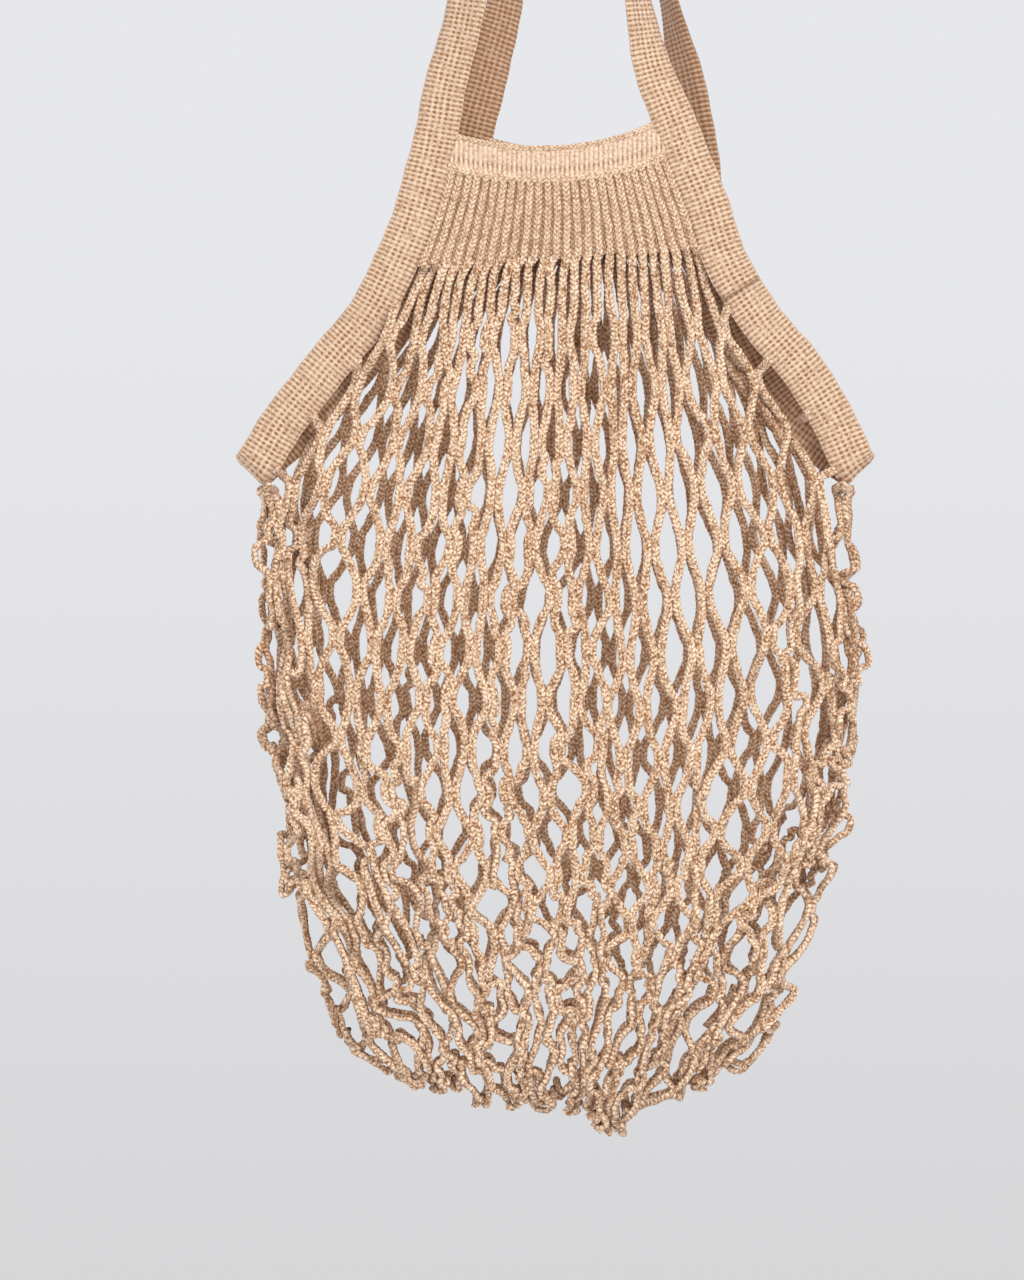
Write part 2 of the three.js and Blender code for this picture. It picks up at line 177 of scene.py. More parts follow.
class CuffSettings(bpy.types.PropertyGroup):
    """The ribbed hems and the chain-knit cuffs"""
    sag: FloatProperty(name="Sag", description="How far the hem's middle hangs lower",
                       default=9 * MM, unit='LENGTH')
    height: FloatProperty(name="Hem height", description="Height of the hem band",
                          default=16.5 * MM, unit='LENGTH')
    rib: FloatProperty(name="Rib", description="Distance between two ribs of the hem",
                       default=2.4 * MM, unit='LENGTH')
    cords: IntProperty(name="Cords", description="Cords that hang from a cuff", default=26)
    wales: IntProperty(name="Wales", description="Raised columns of chain stitches in a cuff",
                       default=25)


class NetSettings(bpy.types.PropertyGroup):
    """The hanging net of zigzag cords"""
    edge_cords: IntProperty(name="Edge cords", description="Cords that start along one slant",
                            default=4)
    tip_cords: IntProperty(name="Tip cords", description="Cords gathered at one side tip",
                           default=2)
    rows: IntProperty(name="Rows", description="Mesh rows from a cuff to the bottom fold",
                      default=20)
    pitch: FloatProperty(name="Row pitch", description="Cord from joint to joint, where taut",
                         default=27.3 * MM, unit='LENGTH')
    low_pitch: FloatProperty(name="Low pitch", description="The same in the slack foot, as seen",
                             default=19.5 * MM, unit='LENGTH')
    joint: FloatProperty(name="Joint", description="Length over which two cords are knitted",
                         default=9 * MM, unit='LENGTH')
    steps: IntProperty(name="Steps", description="Steps in which the net settles",
                       default=1400)
    uneven: FloatProperty(name="Uneven", description="How much the cords' lengths differ",
                          default=0.08)
    offset: FloatProperty(name="Offset", description="How far the back net hangs to one side",
                          default=4 * MM, unit='LENGTH')
    gather: FloatProperty(name="Gather", description="Cords that the back's sides draw in",
                          default=1.6)
    wander: FloatProperty(name="Wander", description="How far joints stray in the side folds",
                          default=6 * MM, unit='LENGTH')


class StageSettings(bpy.types.PropertyGroup):
    """The floor, lights and camera"""
    distance: FloatProperty(name="Distance", description="From the camera to the bag",
                            default=2.2, unit='LENGTH')
    floor_drop: FloatProperty(name="Floor", description="Height of the bag over the floor",
                              default=0.5, unit='LENGTH')
    key_power: FloatProperty(name="Key light", description="Power of the large soft light",
                             default=30, unit='POWER')
    fill: FloatProperty(name="Fill", description="Brightness of the light all round",
                        default=1.0)


# Geometry helpers

def unit(vectors):
    """The same directions with length 1"""
    return vectors / np.maximum(np.linalg.norm(vectors, axis=-1, keepdims=True), 1e-12)


def smooth_line(points, closed, per_span):
    """Points of a smooth curve through the given ones, with the fractional place of each"""
    points = np.asarray(points, float)
    if closed:
        padded = points[np.arange(-1, len(points) + 2) % len(points)]
    else:
        padded = np.vstack([2 * points[0] - points[1], points, 2 * points[-1] - points[-2]])
    length = np.sqrt(np.maximum(np.linalg.norm(np.diff(padded, axis=0), axis=1), 1e-9))
    out = []
    for i in range(len(padded) - 3):
        p0, p1, p2, p3 = padded[i:i + 4]
        d0, d1, d2 = length[i:i + 3]
        m1 = (p2 - p1) / d1 - (p2 - p0) / (d0 + d1) + (p1 - p0) / d0
        m2 = (p3 - p2) / d2 - (p3 - p1) / (d1 + d2) + (p2 - p1) / d1
        t = np.linspace(0, 1, per_span, endpoint=False)[:, None]
        m1, m2 = m1 * d1, m2 * d1
        out.append((2 * t**3 - 3 * t**2 + 1) * p1 + (t**3 - 2 * t**2 + t) * m1
                   + (-2 * t**3 + 3 * t**2) * p2 + (t**3 - t**2) * m2)
    if not closed:
        out.append(points[-1:])
    line = np.vstack(out)
    return line, np.arange(len(line)) / per_span


def even_steps(points, step, *extra):
    """The same line with points at even steps, and other values carried along"""
    lengths = np.concatenate([[0], np.cumsum(np.linalg.norm(np.diff(points, axis=0), axis=1))])
    count = max(int(round(lengths[-1] / step)), 2)
    at = np.linspace(0, lengths[-1], count + 1)
    points, *extra = (np.stack([np.interp(at, lengths, column) for column in values.T], axis=1)
                      for values in (points, *extra))
    return (points, at, *extra)


def tangents(points):
    """The direction of a line at each of its points"""
    return unit(np.gradient(points, axis=0))


def net_section(z):
    """The net's sideways shift, half width and half depth at a height"""
    share = np.clip((z - CUFF_BOTTOM) / (NET_LOW.z - CUFF_BOTTOM), 0, 1)
    half_width = (NET_HIGH.x - NET_LOW.x) / 2
    shift, wide, deep = (np.interp(share, NET_SECTIONS[:, 0], NET_SECTIONS[:, k])
                         for k in (1, 2, 3))
    return shift * half_width, wide * half_width, deep * NET_HIGH.y


def wall_depth(x, z):
    """Half the distance between the net's front and back walls"""
    middle, wide, deep = net_section(z)
    across = np.clip(np.abs(x - middle) / (wide - NET_WALL), 0, 1)
    return (deep - NET_WALL) * (1 - across**NET_ROUNDNESS) ** (1 / NET_ROUNDNESS)


class Fabric:
    """Collects swept rings into one mesh, with the knit's own coordinates at each point"""

    def __init__(self):
        self.vertices, self.faces, self.knit, self.shade = [], [], [], []
        self.count = 0

    def sweep(self, rings, knit, shade):
        """Joins rings of points and closes both ends. All three are steps by points by 3."""
        steps, around = rings.shape[:2]
        index = self.count + np.arange(steps * around).reshape(steps, around)
        first, last = index[:-1], index[1:]
        quads = np.stack([first, np.roll(first, -1, axis=1), np.roll(last, -1, axis=1), last],
                         axis=-1).reshape(-1, 4)
        self.vertices.append(rings.reshape(-1, 3))
        self.knit.append(knit.reshape(-1, 3))
        self.shade.append(shade.reshape(-1, 3))
        self.faces.append(quads)
        for ring, order in ((index[0], 1), (index[-1], -1)):
            for j in range(around // 2 - 1):
                k = around - 1 - j
                cap = [ring[j], ring[k], ring[k - 1], ring[j + 1]]
                self.faces.append(np.array([cap[::order]]))
        self.count += steps * around

    def piece(self, name, material, node, slot):
        """Makes a smooth piece that stands for a solid of the frame and rides with it"""
        vertices, faces = np.vstack(self.vertices), np.vstack(self.faces)
        p = vertices[faces]
        volume = sum(np.einsum('ij,ij->i', p[:, 0], np.cross(p[:, k], p[:, k + 1])).sum()
                     for k in (1, 2))
        faces = np.ascontiguousarray(faces[:, ::-1] if volume < 0 else faces, np.int32)
        corners = faces.shape[1]
        mesh = bpy.data.meshes.new(name)
        mesh.vertices.add(len(vertices))
        mesh.vertices.foreach_set("co", vertices.astype(np.float32).ravel())
        mesh.loops.add(faces.size)
        mesh.loops.foreach_set("vertex_index", faces.ravel())
        mesh.polygons.add(len(faces))
        mesh.polygons.foreach_set("loop_start", np.arange(0, faces.size, corners, dtype=np.int32))
        mesh.polygons.foreach_set("loop_total", np.full(len(faces), corners, np.int32))
        mesh.update(calc_edges=True)
        mesh.validate()
        mesh.polygons.foreach_set("use_smooth", np.ones(len(mesh.polygons), bool))
        for key, values in (("knit", self.knit), ("shade", self.shade)):
            attribute = mesh.attributes.new(key, 'FLOAT_VECTOR', 'POINT')
            attribute.data.foreach_set("vector", np.vstack(values).astype(np.float32).ravel())
        mesh.materials.append(material)
        piece = bpy.data.objects.new(name, mesh)
        bpy.context.scene.collection.objects.link(piece)
        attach(piece, "root")
        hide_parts(node)


# A cord of chain stitches

CORD_SIDES = 8
RINGS_PER_STITCH = 2
CORD_RELIEF = 0.075           # of the cord's width: how far a stitch stands out
CORD_LEAN = 0.22              # of a stitch: how far its two legs lie back at the sides


def sweep_cord(fabric, points, seed, width, depth, stitch, lead, sunk_shade=0.0, thinning=0.0):
    """Sweeps one cord of chain stitches along a line, with its front turned to lead at the
    start. It gets thinner by the share thinning over its second half. Gives its length."""
    line, _ = smooth_line(points, False, 4)
    line, at = even_steps(line, stitch / RINGS_PER_STITCH)
    along = tangents(line)
    across = np.empty_like(line)
    side = unit(np.cross(along[0], lead))
    for k in range(len(line)):
        side = side - side.dot(along[k]) * along[k]
        side /= math.sqrt(side.dot(side))
        across[k] = side
    facing = np.cross(across, along)
    turn = np.linspace(0, 2 * math.pi, CORD_SIDES, endpoint=False)
    sine, cosine = np.sin(turn), np.cos(turn)
    crest = np.where(np.arange(len(line)) % RINGS_PER_STITCH == 0, 1.0, -1.0)
    count = at / stitch
    wobble = 1 + 0.05 * np.sin(count * 0.9 + seed) + 0.04 * np.sin(count * 2.3 + 2 * seed)
    slack = np.clip(at / at[-1] * 2 - 1, 0, 1)
    relief = ((wobble + CORD_RELIEF * crest) * (1 - thinning * slack))[:, None]
    rings = (line[:, None, :]
             + across[:, None, :] * (width / 2 * relief * sine)[..., None]
             + facing[:, None, :] * (depth / 2 * relief * cosine)[..., None]
             - along[:, None, :] * (CORD_LEAN * stitch * np.abs(sine))[:, None])
    knit = np.stack(np.broadcast_arrays(count[:, None], sine, cosine), axis=-1)
    # The second shade number is painted shade over the whole cord, used on the cuff's sunk wales
    fabric.sweep(rings, knit, np.broadcast_to([(seed * 0.37) % 1, sunk_shade, 0], knit.shape))
    return at[-1]


# The strap's route

PEG_POINTS = 3
PEG_TURN = math.radians(78)


def leg_knots(face, side, settings):
    """Points and across directions of one leg, from the peg down to the side tip"""
    route = ROUTES[face, side]
    radius = settings.peg + settings.thickness / 2
    peg_y = face * settings.spacing / 2
    places = []
    for i in range(1, PEG_POINTS + 1):
        turn = PEG_TURN * i / PEG_POINTS
        places.append((side * radius * math.sin(turn), peg_y, radius * math.cos(turn) - settings.peg))
    hem_z = -route[HEM_ROW][1] * TIP_DROP
    top_z = photo_z(0)
    for out, down in [*route, (1, 1)]:
        x, z = side * out * TIP_REACH, -down * TIP_DROP
        flat_y = face * max(float(wall_depth(x, z)), settings.fold)
        share = min(max(1 - z / hem_z, 0), 1)
        places.append((x, flat_y + (peg_y - flat_y) * share, z))
    places = np.array(places)
    along = np.gradient(places, axis=0)
    across = unit(np.stack([-along[:, 2], 0 * along[:, 0], along[:, 0]], axis=1)) * side
    across *= np.where(across[:, 0] * side < 0, -1, 1)[:, None]
    twist = np.interp(-places[:, 2], [0, -top_z, -hem_z, -hem_z + 25 * MM],
                      [90, LEG_TWIST[face, side], 4, 0])
    twist[:PEG_POINTS] = 90
    twist = np.radians(twist)[:, None]
    across = across * np.cos(twist) + np.array([[0, -face, 0]]) * np.sin(twist)
    return list(places), list(across)


def strap_knots(settings):
    """Points and across directions of the whole strap, from the peg down its front right leg"""
    points, sides = [], []
    for face, side in ((FRONT, RIGHT), (BACK, LEFT)):
        down, down_across = leg_knots(face, side, settings)
        up, up_across = leg_knots(-face, side, settings)
        outward, upward = unit(np.array([side, 0, -1.0])), unit(np.array([side, 0, 1.0]))
        fold = np.array([side * TIP_REACH, 0, -TIP_DROP]) + outward * settings.fold
        peg = (0, face * settings.spacing / 2, settings.thickness / 2)
        points += [peg, *down, fold, *up[::-1]]
        sides += [(0, -face, 0), *down_across, upward, *up_across[::-1]]
    return points, sides


def strap_loop(settings, step):
    """The strap's middle line as a closed loop, with the across and facing directions"""
    knots, sides = strap_knots(settings)
    lap = 1 + PEG_POINTS + LAP_ROW
    knots, sides = knots[lap:] + knots[:lap], np.array(sides[lap:] + sides[:lap], float)
    line, places = smooth_line(knots, True, 40)
    whole = np.floor(places).astype(int)
    part = (places - whole)[:, None]
    across = sides[whole] * (1 - part) + sides[(whole + 1) % len(sides)] * part
    line, across = np.vstack([line, line[:1]]), np.vstack([across, across[:1]])
    line, at, across = even_steps(line, step, across)
    along = tangents(line)
    along[0] = along[-1] = unit(along[0] + along[-1])
    across = unit(across - np.sum(across * along, axis=1, keepdims=True) * along)
    return line, at, across, unit(np.cross(along, across))


def inner_edge(face, side, settings):
    """The strap's inner edge beside the net, from above the hem down to the tip"""
    line, _, across, _ = strap_loop(settings, 2 * MM)
    chosen = ((line[:, 1] * face > 0) & (line[:, 0] * side > 0)
              & (line[:, 2] < HEM_HIGH.z + 2 * settings.width))
    edge = line[chosen] - across[chosen] * settings.width / 2
    return edge[np.argsort(-edge[:, 2])]


def edge_x(edge, z):
    """How far out an edge lies at the heights z"""
    return np.interp(-np.asarray(z), -edge[:, 2], edge[:, 0])


# Shader helpers

class Shade:
    """A shader value. An expression of such values adds the Math nodes that work it out."""

    def __init__(self, tree, socket):
        self.tree, self.socket = tree, socket

    def _math(self, operation, *values):
        return self.tree.node('ShaderNodeMath', {"operation": operation}, *values)

    def __add__(self, other):
        return self._math('ADD', self, other)

    def __sub__(self, other):
        return self._math('SUBTRACT', self, other)

    def __rsub__(self, other):
        return self._math('SUBTRACT', other, self)

    def __mul__(self, other):
        return self._math('MULTIPLY', self, other)

    def __abs__(self):
        return self._math('ABSOLUTE', self)

    __radd__ = __add__
    __rmul__ = __mul__

    def wave(self):
        """0 at whole numbers and 1 half way between them"""
        return 1 - abs(self._math('FRACT', self) * 2 - 1)

    def power(self, exponent):
        """The value raised to a power"""
        return self._math('POWER', self, exponent)

    def between(self, low, high):
        """0 under the low value and 1 over the high one, with a smooth step between them"""
        return self.tree.node('ShaderNodeMapRange', {"interpolation_type": 'SMOOTHSTEP'},
                              self, low, high)


class Nodes:
    """Adds and joins the nodes of one node tree"""

    def __init__(self, tree):
        self.nodes, self.links = tree.nodes, tree.links

    def node(self, kind, settings, *values, output=0, **named):
        """Any node, from its type, its settings and the values or links of its sockets"""
        node = self.nodes.new(kind)
        for key, value in settings.items():
            setattr(node, key, value)
        pairs = list(zip([socket for socket in node.inputs if socket.enabled], values))
        pairs += [(node.inputs[key.replace("_", " ")], value) for key, value in named.items()]
        for socket, value in pairs:
            if isinstance(value, Shade):
                self.links.new(value.socket, socket)
            else:
                socket.default_value = value
        return Shade(self, [socket for socket in node.outputs if socket.enabled][output])

    def numbers(self, vector):
        """The three numbers of a vector"""
        return [self.node('ShaderNodeSeparateXYZ', {}, vector, output=k) for k in range(3)]

    def noise(self, size, detail, roughness=0.6):
        """Clouds of about the given size"""
        place = self.node('ShaderNodeTexCoord', {}, output=3)
        return self.node('ShaderNodeTexNoise', {}, place, Scale=1 / size, Detail=detail,
                         Roughness=roughness)

    def mix(self, factor, first, second):
        """The first colour with a share of the second one"""
        colours = (colour if isinstance(colour, Shade) else (*colour, 1)
                   for colour in (first, second))
        return self.node('ShaderNodeMix', {"data_type": 'RGBA'}, factor, *colours)


# Materials

class Finish(Nodes):
    """A new material, and the nodes in it"""

    def __init__(self, name, roughness, sheen):
        self.material = bpy.data.materials.new(name)
        self.material.use_nodes = True
        super().__init__(self.material.node_tree)
        self.shader = self.nodes["Principled BSDF"]
        for socket, value in (("Roughness", roughness), ("Sheen Weight", sheen),
                              ("Sheen Roughness", 0.6), ("Specular IOR Level", 0.15)):
            self.shader.inputs[socket].default_value = value

    def knit(self, key="knit"):
        """The three numbers of a knit attribute"""
        return self.numbers(self.node('ShaderNodeAttribute', {"attribute_name": key}, output=1))

    def bump(self, height, strength):
        """Relief of half a millimetre"""
        return self.node('ShaderNodeBump', {}, Strength=strength, Distance=0.5 * MM, Height=height)

    def feed(self, socket, value):
        """Links a value to a socket of the shader"""
        self.links.new(value.socket, self.shader.inputs[socket])


# The even colours that the flecks of chains, tape and hem blend towards
EVEN_CHAIN = (0.84, 0.62, 0.44)
EVEN_TAPE = (0.74, 0.55, 0.395)
EVEN_HEM = (0.75, 0.58, 0.435)


def melange(finish, yarn, tone):
    """The speckled colour of the yarn, brown and cream flecks in beige, and the flecks' value"""
    fine = finish.noise(yarn.fleck, 1.5, 0.55)
    broad = finish.noise(yarn.fleck * 2.6, 2.0, 0.6)
    cloudy = finish.noise(0.05, 1.0)
    value = fine * 0.75 + broad * 0.25 + (tone - 0.5) * 0.03 + (cloudy - 0.5) * 0.06
    dark = finish.mix(value.between(0.38, 0.47), yarn.dark, yarn.middle)
    return finish.mix(value.between(0.46, 0.57), dark, yarn.light), value


def cord_finish(yarn, name, recess_shade, even=0.0):
    """Chain stitches seen as V shapes, each of two plied legs, with painted shade in what lies
    between them, as strong as the third argument. Painted shade also darkens the cuff's sunk wales
    and the cord sides that face into the bag, and even takes a share of the melange away."""
    finish = Finish(name, 0.88, 0.25)
    phase, across, facing = finish.knit()
    # The second shade number is painted shade of the cuff's sunk wales
    tone, sunk_shade, _ = finish.knit("shade")
    colour, value = melange(finish, yarn, tone)
    colour = finish.mix(even, colour, EVEN_CHAIN)
    stitch = (phase + abs(across) * 0.55).wave()
    leg = stitch.power(0.6)
    groove = abs(across).between(0.0, 0.22)
    height = leg * (groove * 0.6 + 0.4)
    ply = (phase * 3 + across * 1.4).wave()
    depth = height.between(0.15, 0.8)
    # Painted shade on the cord sides that face into the bag, which are the sides of the back cords
    # that face the front
    inward_shade = (0.2 - facing).between(0, 0.9)
    # Painted shade: between the stitch legs, over the cuff's sunk wales and on the sides that face
    # into the bag
    shadow = (1 - depth) * recess_shade + sunk_shade * 0.36 + inward_shade * 0.3
    finish.feed("Base Color", finish.mix(shadow, colour, yarn.dark))
    finish.feed("Normal", finish.bump(height * 0.7 + ply * 0.12 + value * 0.35, 0.85))
    return finish.material


def tape_finish(yarn):
    """Tubular knit tape: ridges across its edges and rows of small holes in its middle, with painted
    shade between the ridges, in the holes, at the lap's sewn end and on the tape's inner face
    """
    finish = Finish("knit_tape", 0.86, 0.25)
    course, across, outside = finish.knit()
    tone, hole, edge = finish.knit("shade")
    colour, value = melange(finish, yarn, tone)
    pale = finish.mix(0.62, colour, EVEN_TAPE)
    wobble = finish.noise(9 * MM, 1.0)
    crest = (course + wobble * 0.3).wave()
    wale = (across * 3.5 + wobble * 0.2).wave()
    between = (1 - crest).power(1.5)
    beside = (1 - wale).power(1.5)
    # A noise that makes the painted shade in the pits between courses and wales patchy
    patchy_pit_shade = finish.noise(5 * MM, 1.0).between(0.3, 0.65)
    # Painted shade between courses and wales, in the holes and along the lap's sewn end
    sunk = (between * (edge * 0.3 + 0.25) + between * beside * (1.0 - edge * 0.7) * (patchy_pit_shade + 0.45)
            + beside * 0.12 + hole * 0.2)
    # Painted shade on the tape's inner face, as well as in its pits and holes
    shadow = sunk * 1.25 + (1 - outside) * 0.17
    finish.feed("Base Color", finish.mix(shadow, pale, yarn.dark))
    finish.feed("Normal", finish.bump(crest * 0.65 + wale * 0.25 + value * 0.3, 0.9))
    return finish.material


def hem_finish(yarn):
    """Fine ribs, with painted shade in the groove between two of them and in a row of small holes"""
    finish = Finish("ribbed_band", 0.86, 0.25)
    rib, _, hole = finish.knit()
    tone, _, _ = finish.knit("shade")
    colour, value = melange(finish, yarn, tone)
    pale = finish.mix(0.6, colour, EVEN_HEM)
    wave = rib.wave()
    # Painted shade in the grooves between ribs and in the row of holes
    shadow = (1 - wave).power(2.2) * 0.55 + hole * 0.5
    finish.feed("Base Color", finish.mix(shadow, pale, yarn.dark))
    finish.feed("Normal", finish.bump(wave * 0.6 + value * 0.35, 0.85))
    return finish.material


# Operators

def settings_of(context):
    """The bag's settings in the current scene"""
    return context.scene.string_bag


class STRINGBAG_OT_stage(bpy.types.Operator):
    """Adds the camera at the photograph's angle, a pale floor and soft studio light"""
    bl_idname = "stringbag.stage"
    bl_label = "Stage"

    FLOOR_REACH = 2.0             # from the bag to each edge of the floor

    def execute(self, context):
        stage = settings_of(context).stage
        scene = context.scene
        scene.view_settings.view_transform = 'Standard'
        middle = Vector((photo_x(PHOTO_WIDTH / 2), 0, photo_z(PHOTO_HEIGHT / 2)))
        camera_data = bpy.data.cameras.new("camera")
        camera_data.lens = camera_data.sensor_width * stage.distance / (PHOTO_HEIGHT * PIXEL)
        camera = bpy.data.objects.new("camera", camera_data)
        camera.location = middle + Vector((0, -stage.distance, 0))
        camera.rotation_euler = (math.pi / 2, 0, 0)
        scene.collection.objects.link(camera)
        scene.camera = camera

        self.add_floor(scene, NET_LOW.z - stage.floor_drop)
        self.add_light(scene, "key", middle + Vector((0.9, -1.8, 1.3)), middle, 1.0, stage.key_power)
        self.add_light(scene, "side", middle + Vector((-1.7, -1.2, 0.3)), middle, 1.4,
                       stage.key_power * 0.2)
        scene.world = self.studio(stage)
        return {'FINISHED'}

    def studio(self, stage):
        """A pale studio all round, a little darker towards its floor"""
        world = bpy.data.worlds.new("studio")
        world.use_nodes = True
        background = world.node_tree.nodes["Background"]
        background.inputs["Strength"].default_value = stage.fill
        nodes = Nodes(world.node_tree)
        upward = nodes.numbers(nodes.node('ShaderNodeTexCoord', {}, output=0))[2]
        sky = nodes.mix(upward.between(-0.22, 0.12), (0.655, 0.655, 0.665), (0.80, 0.805, 0.83))
        nodes.links.new(sky.socket, background.inputs["Color"])
        return world

    def add_floor(self, scene, height):
        """Lays the square floor"""
        finish = Finish("pale_floor", 0.7, 0.0)
        tint = finish.noise(0.4, 3.0)
        finish.feed("Base Color", finish.mix(tint, (0.80, 0.80, 0.815), (0.84, 0.84, 0.85)))
        mesh = bpy.data.meshes.new("floor")
        corners = [(x * self.FLOOR_REACH, y * self.FLOOR_REACH, height)
                   for x, y in ((-1, -1), (1, -1), (1, 1), (-1, 1))]
        mesh.from_pydata(corners, [], [(0, 1, 2, 3)])
        mesh.materials.append(finish.material)
        floor = bpy.data.objects.new("floor", mesh)
        scene.collection.objects.link(floor)

    def add_light(self, scene, name, place, target, size, power):
        """Hangs one round soft light that points at the target"""
        data = bpy.data.lights.new(name, 'AREA')
        data.shape, data.size, data.energy = 'DISK', size, power
        light = bpy.data.objects.new(name, data)
        light.location = place
        light.rotation_euler = (target - place).to_track_quat('-Z', 'Y').to_euler()
        scene.collection.objects.link(light)


class STRINGBAG_OT_strap(bpy.types.Operator):
    """Knits the endless strap and laps its two ends over each other"""
    bl_idname = "stringbag.strap"
    bl_label = "Strap"

    RISE = 12 * MM                # length over which the outer end rises onto the inner one
    LAP_LIFT = 0.82               # of the thickness
    FACE_POINTS = 20
    HOLE_ZONE = 0.42              # of half the width, in which the rows of holes lie
    HOLE_WAVES, EDGE_WAVES = 4.6, 3.5
    END_SHADOW = 2.5              # how dark the sewn edge of the outer end is

    def execute(self, context):
        bag = settings_of(context)
        strap = bag.strap
        step = strap.course / 2
        line, at, across, facing = strap_loop(strap, step)
        outward = -1 if facing[0, 1] > 0 else 1
        again = slice(1, int(round(strap.lap / step)))
        line, across, facing = (np.vstack([rows, rows[again]]) for rows in (line, across, facing))
        at = np.arange(len(line)) * (at[1] - at[0])
        lift = np.clip((at - at[-1] + strap.lap + self.RISE) / self.RISE, 0, 1)
        lift = lift * lift * (3 - 2 * lift)
        line = line + facing * (outward * strap.thickness * self.LAP_LIFT * lift)[:, None]
        self.add_tape(bag, line, across, facing, at / strap.course, outward)
        return {'FINISHED'}

    def add_tape(self, bag, line, across, facing, course, outward):
        """Sweeps both faces of the tape, with a crest and a hollow in each course"""
        course = course[:, None]
        crest = np.where(np.arange(len(line)) % 2 == 0, 1.0, -1.0)[:, None]
        wander = 0.25 * MM * np.sin(course * 0.31)
        width = bag.strap.width / 2 * (1 + 0.012 * np.sin(course * 0.9))
        rings, knit, shade = [], [], []
        for face in (1, -1):
            u = np.linspace(-1, 1, self.FACE_POINTS) * face
            rounded = np.sqrt(np.clip(1 - np.abs(u) ** 7, 0, 1))
            edge_zone = np.clip((np.abs(u) - self.HOLE_ZONE) / 0.12, 0, 1)
            holes = np.cos(u * math.pi * self.HOLE_WAVES) ** 2 * (1 - edge_zone)
            hole = np.where(crest < 0, 1.0, 0.0) * holes ** 3
            ridge = crest * (0.10 + 0.08 * edge_zone) * MM
            puff = 0.22 * MM * np.cos(u * math.pi * self.EDGE_WAVES) * edge_zone
            height = bag.strap.thickness / 2 * rounded + ridge + puff - hole * 0.35 * MM
            rings.append(line[:, None, :] + across[:, None, :] * (u * width + wander)[..., None]
                         + facing[:, None, :] * (height * face)[..., None])
            knit.append(np.stack(np.broadcast_arrays(course, u, face * outward), axis=-1))
            # The holes and the edge zone are carried on to the tape's finish, which paints shade from
            # them
            shade.append(np.stack(np.broadcast_arrays(0.5, hole, edge_zone), axis=-1))
        shade = np.concatenate(shade, 1)
        shade[-1:, :, 1] = self.END_SHADOW
        fabric = Fabric()
        fabric.sweep(np.concatenate(rings, 1), np.concatenate(knit, 1), shade)
        fabric.piece("strap_tape", tape_finish(bag.yarn), "strap", "strap_tape")


# Heights along the cuffs and hems, from the left at 0 to the right at 1

def cuff_foot(share):
    """The cuff's lower edge, which hangs a little lower at the left than at the right"""
    return CUFF_BOTTOM + (9 * share - 4) * MM


def hem_top(share, cuff):
    """The hem's upper edge, which sags in its middle"""
    spread = 2 * share - 1
    return HEM_HIGH.z - HEM_TILT / 2 - cuff.sag * (1 - spread**2) + HEM_TILT * spread / 2


class STRINGBAG_OT_hems(bpy.types.Operator):
    """Ribs the hem band over each cuff, with a chain along its top and foot"""
    bl_idname = "stringbag.hems"
    bl_label = "Hems"

    COLUMNS, ROWS = 260, 20
    TUCK = 1.5 * MM               # how far a hem reaches behind the strap
    HOLE_HEIGHT = 0.66            # of the hem's height, down from its top

    def execute(self, context):
        bag = settings_of(context)
        finish = hem_finish(bag.yarn)
        # 0.5: strength of the painted shade between the chain's stitches
        chain = cord_finish(bag.yarn, "hem_chain", 0.5, 0.4)
        for face, name in ((FRONT, "front_hem"), (BACK, "back_hem")):
            self.add_hem(bag, face, name, finish, chain)
        return {'FINISHED'}

    def add_hem(self, bag, face, name, finish, chain):
        """Makes one band, and the chains along its top and foot"""
        cuff = bag.cuff
        left, right = (inner_edge(face, side, bag.strap) for side in (LEFT, RIGHT))
        share, down = np.linspace(0, 1, self.COLUMNS), np.linspace(0, 1, self.ROWS)
        z = hem_top(share, cuff)[:, None] - cuff.height * down
        low, high = edge_x(left, z) - self.TUCK, edge_x(right, z) + self.TUCK
        x = low + (high - low) * share[:, None]
        rib = x / cuff.rib
        wave = 1 - np.abs((rib % 1) * 2 - 1)
        body = np.sin(np.clip(down, 0.02, 0.98) * math.pi) ** 0.35
        hole_row = np.exp(-((down - self.HOLE_HEIGHT) / 0.07) ** 2) * (wave < 0.35)
        bulge = 0.9 * MM * body + 0.35 * MM * wave * body - hole_row * 0.4 * MM
        middle = face * FACE_DEPTH
        rings, knit = [], []
        for outside, order in ((1, slice(None)), (-1, slice(None, None, -1))):
            y = middle + face * (bulge + 0.55 * MM) * outside
            rings.append(np.stack([x, y, z], axis=-1)[:, order])
            knit.append(np.stack(np.broadcast_arrays(rib, down, hole_row), axis=-1)[:, order])
        rings = np.concatenate(rings, 1)
        fabric = Fabric()
        fabric.sweep(rings, np.concatenate(knit, 1), np.full(rings.shape, 0.5))
        fabric.piece(name + "_band", finish, name, "hem_band")
        edge = Fabric()
        share = share[::8]
        for number, (drop, width) in enumerate(((0.4 * MM, 3.0 * MM),
                                                (cuff.height - 0.6 * MM, 3.9 * MM))):
            z = hem_top(share, cuff) - drop
            low, high = edge_x(left, z), edge_x(right, z)
            x = low - self.TUCK + (high - low + 2 * self.TUCK) * share
            y = np.full_like(x, middle + face * 0.9 * MM)
            sweep_cord(edge, np.stack([x, y, z], axis=1), 3.1 + number, width, 2.6 * MM,
                       bag.yarn.stitch, np.array([0, face, 0.0]))
        edge.piece(name + "_chain", chain, name, "hem_band")


